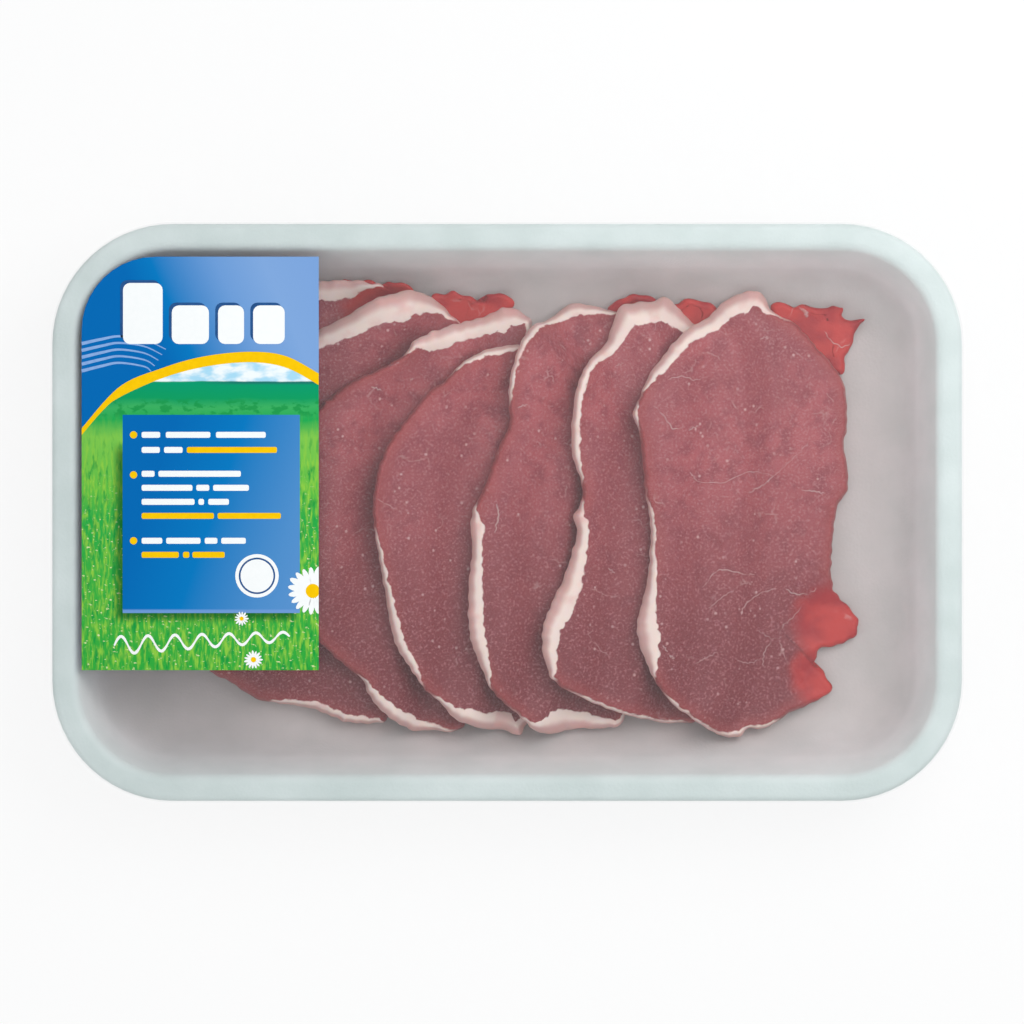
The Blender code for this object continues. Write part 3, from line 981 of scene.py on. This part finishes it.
def meadow_material():
    """The printed meadow: bands of sky, hills, trees and grass, broken by blades and flecks."""
    material, node, place = new_material("printed_meadow")

    x = node(
        "ShaderNodeMath",
        {0: node("ShaderNodeSeparateXYZ", {0: place}, output="X"), 1: 1 / MM},
        operation="MULTIPLY",
    )
    y = node(
        "ShaderNodeMath",
        {0: node("ShaderNodeSeparateXYZ", {0: place}, output="Y"), 1: 1 / MM},
        operation="MULTIPLY",
    )
    lumps = node(
        "ShaderNodeTexNoise",
        {
            "Vector": node(
                "ShaderNodeMapping",
                {
                    "Vector": place,
                    "Rotation": (0, 0, 0.0),
                    "Scale": (1 / (3.2 * MM), 1 / (3.2 * 0.6 * MM), 1),
                },
            ),
            "Scale": 1.0,
            "Detail": 3.0,
        },
    )
    patches = node(
        "ShaderNodeTexNoise",
        {
            "Vector": node(
                "ShaderNodeMapping",
                {
                    "Vector": place,
                    "Rotation": (0, 0, 0.0),
                    "Scale": (1 / (14 * MM), 1 / (14 * 0.5 * MM), 1),
                },
            ),
            "Scale": 1.0,
            "Detail": 3.0,
        },
    )
    rolling = node("ShaderNodeMath", {0: patches, 1: 3.0, 2: y}, operation="MULTIPLY_ADD")
    bands = node("ShaderNodeMapRange", {"Value": rolling, "From Min": bottom, "From Max": 40.0})
    ground = node(
        "ShaderNodeValToRGB", {"Fac": bands},
        stops=((0.0, "#2FA83E"), (0.3, "#3FB043"), (0.52, "#2AA948"), (0.62, "#5FBC45"),
               (0.8, "#7BC54F"), (0.86, "#1FA852"), (0.9, "#3BB061"), (0.93, "#0C9C60"),
               (1.0, "#009A72")),
    )
    trees = node(
        "ShaderNodeMath",
        {
            0: node(
                "ShaderNodeMapRange",
                {"Value": lumps, "From Min": 0.5, "From Max": 0.6},
                interpolation_type="SMOOTHSTEP",
            ),
            1: node(
                "ShaderNodeMapRange",
                {"Value": y, "From Min": 26.5, "From Max": 28.5},
                interpolation_type="SMOOTHSTEP",
            ),
        },
        operation="MULTIPLY",
    )
    trees = node(
        "ShaderNodeMath",
        {
            0: trees,
            1: node(
                "ShaderNodeMapRange",
                {"Value": y, "From Min": 33.0, "From Max": 31.0},
                interpolation_type="SMOOTHSTEP",
            ),
        },
        operation="MULTIPLY",
    )
    ground = node(
        "ShaderNodeMix",
        {
            "Factor": node("ShaderNodeMath", {0: trees, 1: 0.75}, operation="MULTIPLY"),
            6: ground,
            7: linear("#149246"),
        },
        output=2,
        data_type="RGBA",
    )
    near = node(
        "ShaderNodeMapRange",
        {"Value": y, "From Min": 30.0, "From Max": 10.0},
        interpolation_type="SMOOTHSTEP",
    )
    blades = node(
        "ShaderNodeMapRange",
        {
            "Value": node(
                "ShaderNodeTexNoise",
                {
                    "Vector": node(
                        "ShaderNodeMapping",
                        {
                            "Vector": place,
                            "Rotation": (0, 0, 0.35),
                            "Scale": (1 / (0.9 * MM), 1 / (0.9 * 5.0 * MM), 1),
                        },
                    ),
                    "Scale": 1.0,
                    "Detail": 3.0,
                },
            ),
            "From Min": 0.42,
            "From Max": 0.68,
        },
        interpolation_type="SMOOTHSTEP",
    )
    ground = node(
        "ShaderNodeMix",
        {
            "Factor": node("ShaderNodeMath", {0: blades, 1: near}, operation="MULTIPLY"),
            6: ground,
            7: linear("#8FCB46"),
        },
        output=2,
        data_type="RGBA",
    )
    shade = node(
        "ShaderNodeMath",
        {
            0: node(
                "ShaderNodeMapRange",
                {
                    "Value": node(
                        "ShaderNodeTexNoise",
                        {
                            "Vector": node(
                                "ShaderNodeMapping",
                                {
                                    "Vector": place,
                                    "Rotation": (0, 0, -0.3),
                                    "Scale": (1 / (1.1 * MM), 1 / (1.1 * 4.0 * MM), 1),
                                },
                            ),
                            "Scale": 1.0,
                            "Detail": 3.0,
                        },
                    ),
                    "From Min": 0.5,
                    "From Max": 0.7,
                },
                interpolation_type="SMOOTHSTEP",
            ),
            1: near,
        },
        operation="MULTIPLY",
    )
    ground = node(
        "ShaderNodeMix",
        {
            "Factor": node("ShaderNodeMath", {0: shade, 1: 0.8}, operation="MULTIPLY"),
            6: ground,
            7: linear("#0A9440"),
        },
        output=2,
        data_type="RGBA",
    )
    flecks = node(
        "ShaderNodeMath",
        {
            0: node(
                "ShaderNodeMapRange",
                {
                    "Value": node(
                        "ShaderNodeTexNoise",
                        {
                            "Vector": node(
                                "ShaderNodeMapping",
                                {
                                    "Vector": place,
                                    "Rotation": (0, 0, 0.6),
                                    "Scale": (1 / (1.3 * MM), 1 / (1.3 * 0.6 * MM), 1),
                                },
                            ),
                            "Scale": 1.0,
                            "Detail": 3.0,
                        },
                    ),
                    "From Min": 0.62,
                    "From Max": 0.7,
                },
                interpolation_type="SMOOTHSTEP",
            ),
            1: node(
                "ShaderNodeMapRange",
                {"Value": y, "From Min": 16.0, "From Max": -8.0},
                interpolation_type="SMOOTHSTEP",
            ),
        },
        operation="MULTIPLY",
    )
    ground = node(
        "ShaderNodeMix",
        {"Factor": flecks, 6: ground, 7: linear("#D9E3A6")},
        output=2,
        data_type="RGBA",
    )

    # A dark line of far woods, then the sky with white cloud in it.
    far = node(
        "ShaderNodeMath",
        {
            0: node(
                "ShaderNodeMapRange",
                {"Value": y, "From Min": 36.2, "From Max": 37.0},
                interpolation_type="SMOOTHSTEP",
            ),
            1: node(
                "ShaderNodeMapRange",
                {"Value": x, "From Min": -92.0, "From Max": -74.0},
                interpolation_type="SMOOTHSTEP",
            ),
        },
        operation="MULTIPLY",
    )
    ground = node(
        "ShaderNodeMix",
        {
            "Factor": node("ShaderNodeMath", {0: far, 1: 0.85}, operation="MULTIPLY"),
            6: ground,
            7: linear("#1E6F6A"),
        },
        output=2,
        data_type="RGBA",
    )
    cloud = node(
        "ShaderNodeMapRange",
        {
            "Value": node(
                "ShaderNodeTexNoise",
                {
                    "Vector": node(
                        "ShaderNodeMapping",
                        {
                            "Vector": place,
                            "Rotation": (0, 0, 0.0),
                            "Scale": (1 / (7 * MM), 1 / (7 * 0.5 * MM), 1),
                        },
                    ),
                    "Scale": 1.0,
                    "Detail": 3.0,
                },
            ),
            "From Min": 0.4,
            "From Max": 0.62,
        },
        interpolation_type="SMOOTHSTEP",
    )
    sky = node(
        "ShaderNodeMix",
        {"Factor": cloud, 6: linear("#A9DBF3"), 7: linear("#F4FAFC")},
        output=2,
        data_type="RGBA",
    )
    wavy = node("ShaderNodeMath", {0: patches, 1: 0.8, 2: y}, operation="MULTIPLY_ADD")
    colour = node(
        "ShaderNodeMix",
        {
            "Factor": node(
                "ShaderNodeMapRange",
                {"Value": wavy, "From Min": 37.5, "From Max": 37.9},
                interpolation_type="SMOOTHSTEP",
            ),
            6: ground,
            7: sky,
        },
        output=2,
        data_type="RGBA",
    )

    # The panel's soft shadow, to its left and below.
    left_side = node(
        "ShaderNodeMapRange",
        {"Value": x, "From Min": PANEL[0] - 3.6, "From Max": PANEL[0] - 0.4},
        interpolation_type="SMOOTHSTEP",
    )
    under = node(
        "ShaderNodeMapRange",
        {"Value": y, "From Min": PANEL[1] - 3.4, "From Max": PANEL[1] - 0.4},
        interpolation_type="SMOOTHSTEP",
    )
    cast = node("ShaderNodeMath", {0: left_side, 1: under}, operation="MULTIPLY")
    cast = node(
        "ShaderNodeMath",
        {
            0: cast,
            1: node(
                "ShaderNodeMapRange",
                {"Value": y, "From Min": 21.0, "From Max": 16.0},
                interpolation_type="SMOOTHSTEP",
            ),
        },
        operation="MULTIPLY",
    )
    cast = node(
        "ShaderNodeMath",
        {
            0: cast,
            1: node(
                "ShaderNodeMapRange",
                {"Value": x, "From Min": PANEL[2] + 0.5, "From Max": PANEL[2] - 3.0},
                interpolation_type="SMOOTHSTEP",
            ),
        },
        operation="MULTIPLY",
    )
    colour = node(
        "ShaderNodeMix",
        {
            "Factor": node("ShaderNodeMath", {0: cast, 1: 0.75}, operation="MULTIPLY"),
            6: colour,
            7: linear("#0B4A1C"),
        },
        output=2,
        data_type="RGBA",
    )
    finish_shader(node, Base_Color=colour, Roughness=0.5, IOR=1.45, Specular_IOR_Level=0.05)
    return material


def petal_tree():
    """Petals round a ring: each a thin plate, turned outwards and of its own length."""
    tree = bpy.data.node_groups.new("daisy_petals", "GeometryNodeTree")
    for name, kind in (("Petals", "Int"), ("Reach", "Float"), ("Centre", "Vector"),
                       ("Material", "Material")):
        tree.interface.new_socket(name, in_out="INPUT", socket_type="NodeSocket" + kind)
    tree.interface.new_socket("Geometry", in_out="OUTPUT", socket_type="NodeSocketGeometry")
    node = partial(add_node, tree)
    given = tree.nodes.new("NodeGroupInput").outputs
    half = node("ShaderNodeMath", {0: given["Reach"], 1: 0.6}, operation="MULTIPLY")
    ring = node("GeometryNodeMeshCircle", {"Vertices": given["Petals"], "Radius": half})
    plate = node("GeometryNodeMeshCylinder", {"Vertices": 12, "Radius": 1.0, "Depth": INK})
    length = node("ShaderNodeMath", {0: given["Reach"], 1: 0.4}, operation="MULTIPLY")
    width = node("ShaderNodeMath", {0: given["Reach"], 1: 0.13}, operation="MULTIPLY")
    size = node("ShaderNodeCombineXYZ", {"X": length, "Y": width, "Z": 1.0})
    petal = node("GeometryNodeTransform", {"Geometry": plate, "Scale": size})
    outward = node(
        "FunctionNodeAlignRotationToVector", {"Vector": node("GeometryNodeInputPosition")},
        axis="X",
    )
    uneven = node(
        "FunctionNodeRandomValue", {2: 0.82, 3: 1.08, "Seed": 4}, output=1, data_type="FLOAT"
    )
    petals = node(
        "GeometryNodeInstanceOnPoints",
        {"Points": ring, "Instance": petal, "Rotation": outward, "Scale": uneven},
    )
    moved = node("GeometryNodeTransform", {"Geometry": petals, "Translation": given["Centre"]})
    whole = node("GeometryNodeRealizeInstances", {"Geometry": moved})
    finished = node(
        "GeometryNodeSetMaterial", {"Geometry": whole, "Material": given["Material"]}
    )
    tree.links.new(finished, tree.nodes.new("NodeGroupOutput").inputs["Geometry"])
    return tree


def add_daisy(number, x, y, reach, petals, tree, material):
    """Grows a daisy's petals, and cuts off what would pass the label's right edge."""
    holder = bpy.data.objects.new("daisy", bpy.data.meshes.new("daisy"))
    bpy.context.scene.collection.objects.link(holder)
    grown = holder.modifiers.new("petals", "NODES")
    grown.node_group = tree
    centre = (x * MM, y * MM, label_high.z + 4.5 * INK)
    values = {"Petals": petals, "Reach": reach * MM, "Centre": centre, "Material": material}
    for item in tree.interface.items_tree:
        if item.in_out == "INPUT":
            grown[item.identifier] = values[item.name]
    graph = bpy.context.evaluated_depsgraph_get()
    mesh = bpy.data.meshes.new_from_object(holder.evaluated_get(graph))
    bpy.data.objects.remove(holder)
    builder = bmesh.new()
    builder.from_mesh(mesh)
    everything = [*builder.verts, *builder.edges, *builder.faces]
    cut = bmesh.ops.bisect_plane(
        builder, geom=everything, plane_co=(label_high.x, 0, 0), plane_no=(1, 0, 0),
        clear_outer=True,
    )
    edges = [item for item in cut["geom_cut"] if isinstance(item, bmesh.types.BMEdge)]
    bmesh.ops.holes_fill(builder, edges=edges)
    builder.to_mesh(mesh)
    builder.free()
    make_piece(f"label_daisy_{number}", mesh, material, "label_paper")


white_ink = ink_material("white_ink", "#FBFCFC", "#F8FAFA")
yellow_ink = ink_material("yellow_ink", "#FFCC05", "#F8C400")
pale_ink = ink_material("pale_blue_ink", "#8FB2E4", "#84A8DC")
shadow_ink = ink_material("dark_blue_ink", "#2C5A92", "#254F84")
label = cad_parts["label"]
label.data.materials.clear()
label.data.materials.append(field_material(
    "blue_field_on_coated_paper",
    ((0.0, "#0069B4"), (0.16, "#0278BF"), (0.5, "#6C9BD5"), (0.75, "#7FA6DA"), (1.0, "#7BA2D8")),
    -78, -24, 0.45,
))

arc_top = open_curve(ARC_TOP, 12)
arc_under = open_curve(ARC_UNDER, 12)
under_arc = np.concatenate([[(left, bottom), (right, bottom)], arc_under[::-1]])
printed("label_meadow", [under_arc], 0, meadow_material())
printed("label_arc", [np.concatenate([arc_under, arc_top[::-1]])], 1, yellow_ink)
panel_blue = field_material(
    "blue_panel_ink", ((0.0, "#0069B4"), (0.35, "#0278BF"), (0.75, "#4F8ECB"), (1.0, "#5E94CF")),
    -104, -46, -0.35, strip=PANEL[1],
)
printed("label_panel", [bar(*PANEL, 0.1)], 1, panel_blue)

lines = []
for number in range(5):
    y = 48.1 - 1.95 * number
    rise = 2.1 + 0.06 * number
    end = -97.3 - 1.05 * number
    path = open_curve(((left, y), (-115.5, y + 0.62 * rise), (-110.5, y + rise),
                       (-103.5, y + 0.55 * rise), (end, y - 1.6 + 0.37 * number)), 8)
    lines.append(stroke(path, np.linspace(0.95, 0.25, len(path))))
printed("label_lines", lines, 1, pale_ink)

# The title is four plain blocks, the first one tall, each with a thin dark shadow to its left.
TITLE = (
    (-109.5, 48, -98.2, 65.4), (-95.6, 48, -85, 59), (-82.4, 48, -75, 59), (-72.4, 48, -63.4, 59),
)
shadows = [bar(*(np.array(block) + (-0.8, 0.8, -0.8, 0.8)), 2) for block in TITLE]
printed("label_title_shadow", shadows, 1, shadow_ink)
wave = np.linspace(0, 1, 120)
flourish = np.stack([
    -112 + 50 * wave,
    -38 + 2.6 * wave + (2.6 - 1.3 * wave) * np.sin(2 * math.pi * 6.5 * wave),
], axis=1)
white = [bar(*block, 2) for block in TITLE]
white.append(stroke(flourish, 0.45 + 0.4 * np.abs(np.sin(13 * math.pi * wave))))
white += [bar(a, y - 0.85, b, y + 0.85, 0.5) for y, *ends in WHITE_ROWS for a, b in ends]
white.append(disc(*SEAL, 6.2))
printed("label_white_print", white, 2, white_ink)
printed("label_seal_ring", [disc(*SEAL, 5.2)], 3, shadow_ink)
printed("label_seal_face", [disc(*SEAL, 4.7)], 4, white_ink)
yellow = [bar(a, y - 0.85, b, y + 0.85, 0.5) for y, *ends in YELLOW_ROWS for a, b in ends]
yellow += [disc(x, y, 1.05, 20) for x, y in BULLETS]
printed("label_yellow_print", yellow, 2, yellow_ink)

petals = petal_tree()
for number, (x, y, reach, count) in enumerate(DAISIES, 1):
    add_daisy(number, x, y, reach, count, petals, white_ink)
hearts = [np.minimum(disc(x, y, 0.28 * reach), (right, math.inf)) for x, y, reach, _ in DAISIES]
printed("label_daisy_hearts", hearts, 5, yellow_ink)

# ---------------------------------------------------------------------------------------------
# Film. One sheet of clear stretch film, drawn tight over the rim, gathered in small pleats
# round the corners and welded to itself under the tray.
# ---------------------------------------------------------------------------------------------

film_low, film_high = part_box("film")
FILM_SKIN = 0.06 * MM
# Inset from the tray's edge and height from the ground, from the top's middle to the base's.
FILM_SECTION = (
    (72, 31.2), (60, 31.2), (40, 31.2), (20, 31.2), (8, 31.2), (1.2, 31.15), (0.3, 30.7),
    (-0.4, 29.6), (-0.4, 28.0), (-0.3, 26.4), (3.2, 21.0), (7.4, 14.0), (11.2, 8.0),
    (13.4, 2.4), (14.6, 0.45), (20, 0.1), (40, 0.1), (60, 0.1), (72, 0.1),
)


def film_rings():
    """The film's rings from the base's middle to the top's, slack and pleated at the corners."""
    rings = []
    for inset, height in FILM_SECTION:
        ring = tray_ring(inset * MM, height * MM, steps=40)
        past_x = np.abs(ring[:, 0]) - (tray_length / 2 - TRAY_CORNER)
        past_y = np.abs(ring[:, 1]) - (tray_width / 2 - TRAY_CORNER)
        near_corner = np.clip(np.minimum(past_x, past_y) / (10 * MM) + 0.4, 0, 1)
        angle = np.arctan2(past_y, past_x)
        slack = math.sin(math.pi * min(max((27 - height) / 27, 0), 1)) if inset < 30 else 0
        pleat = 0.45 * MM * slack * near_corner * np.sin(26 * angle)
        outward = ring[:, :2] / np.linalg.norm(ring[:, :2], axis=1, keepdims=True)
        ring[:, :2] -= outward * (0.45 * MM * slack * near_corner + pleat)[:, None]
        rings.append(ring)
    return rings[::-1]


def film_material():
    """Clear PVC stretch film: nearly invisible, with a thin glossy glint."""
    material, node, place = new_material("clear_stretch_film")
    pull = node("ShaderNodeTexNoise", {"Vector": place, "Scale": 1 / (18 * MM), "Detail": 2.0})
    bump = node("ShaderNodeBump", {"Height": pull, "Distance": 0.3 * MM, "Strength": 0.4})
    tint = node("ShaderNodeValToRGB", {"Fac": pull}, stops=((0.3, "#F4F8F8"), (0.7, "#FFFFFF")))
    finish_shader(node, Base_Color=tint, Roughness=0.12, Normal=bump, IOR=1.5, Alpha=0.03)
    return material


film_mesh = ring_mesh("film_wrap", film_rings())
film_wrap = make_piece("film_wrap", film_mesh, film_material(), "stretch_film", "film")
skin = film_wrap.modifiers.new("skin", "SOLIDIFY")
skin.thickness = FILM_SKIN

# ---------------------------------------------------------------------------------------------
# Stage: a white floor, a soft lamp close by at the upper right, two weak fills, a plain world.
# ---------------------------------------------------------------------------------------------

bpy.ops.mesh.primitive_plane_add(size=6)
floor = bpy.context.object
floor.name = "floor"
# How much of the floor, as the camera sees it, is plain white: the rest keeps the shadow.
FLOOR_WHITE = 0.85
WORLD_LIGHT = 0.62
floor_material, node, _ = new_material("white_sweep")
paint = node("ShaderNodeBsdfDiffuse", {"Color": linear("#F2F2F2")})
glow = node("ShaderNodeEmission", {"Color": linear("#FFFFFF"), "Strength": 1.0})
seen = node("ShaderNodeLightPath", output="Is Camera Ray")
share = node("ShaderNodeMath", {0: seen, 1: FLOOR_WHITE}, operation="MULTIPLY")
sweep = node("ShaderNodeMixShader", {0: share, 1: paint, 2: glow})
node("ShaderNodeOutputMaterial", {"Surface": sweep})
floor.data.materials.append(floor_material)


def add_lamp(name, place, size, power):
    """A square lamp aimed at the pack."""
    lamp = bpy.data.lights.new(name, "AREA")
    lamp.size = size
    lamp.energy = power
    holder = bpy.data.objects.new(name, lamp)
    bpy.context.scene.collection.objects.link(holder)
    holder.location = place
    aim = np.array(place, float)
    holder.rotation_euler = (
        math.acos(aim[2] / np.linalg.norm(aim)), 0, math.atan2(aim[1], aim[0]) + math.pi / 2
    )


add_lamp("key_lamp", (0.25, 0.2, 0.45), 0.4, 1.5)
add_lamp("top_fill", (0.2, 0.1, 1.3), 1.0, 1.2)
add_lamp("side_fill", (-1.2, -1.0, 0.9), 1.2, 5.0)

world = bpy.data.worlds.new("studio")
bpy.context.scene.world = world
world.use_nodes = True
world.node_tree.nodes["Background"].inputs["Color"].default_value = linear("#F4F8FA")
world.node_tree.nodes["Background"].inputs["Strength"].default_value = WORLD_LIGHT

CAMERA_HEIGHT = 1.5
FRAME_WIDTH = 0.2922
camera_data = bpy.data.cameras.new("camera")
camera = bpy.data.objects.new("camera", camera_data)
bpy.context.scene.collection.objects.link(camera)
camera.location = (1.4 * MM, 0.1 * MM, tray_high.z + CAMERA_HEIGHT)
camera_data.sensor_width = 36
camera_data.lens = 36 * CAMERA_HEIGHT / FRAME_WIDTH
camera_data.clip_end = 20
bpy.context.scene.camera = camera
bpy.context.scene.view_settings.view_transform = "Standard"
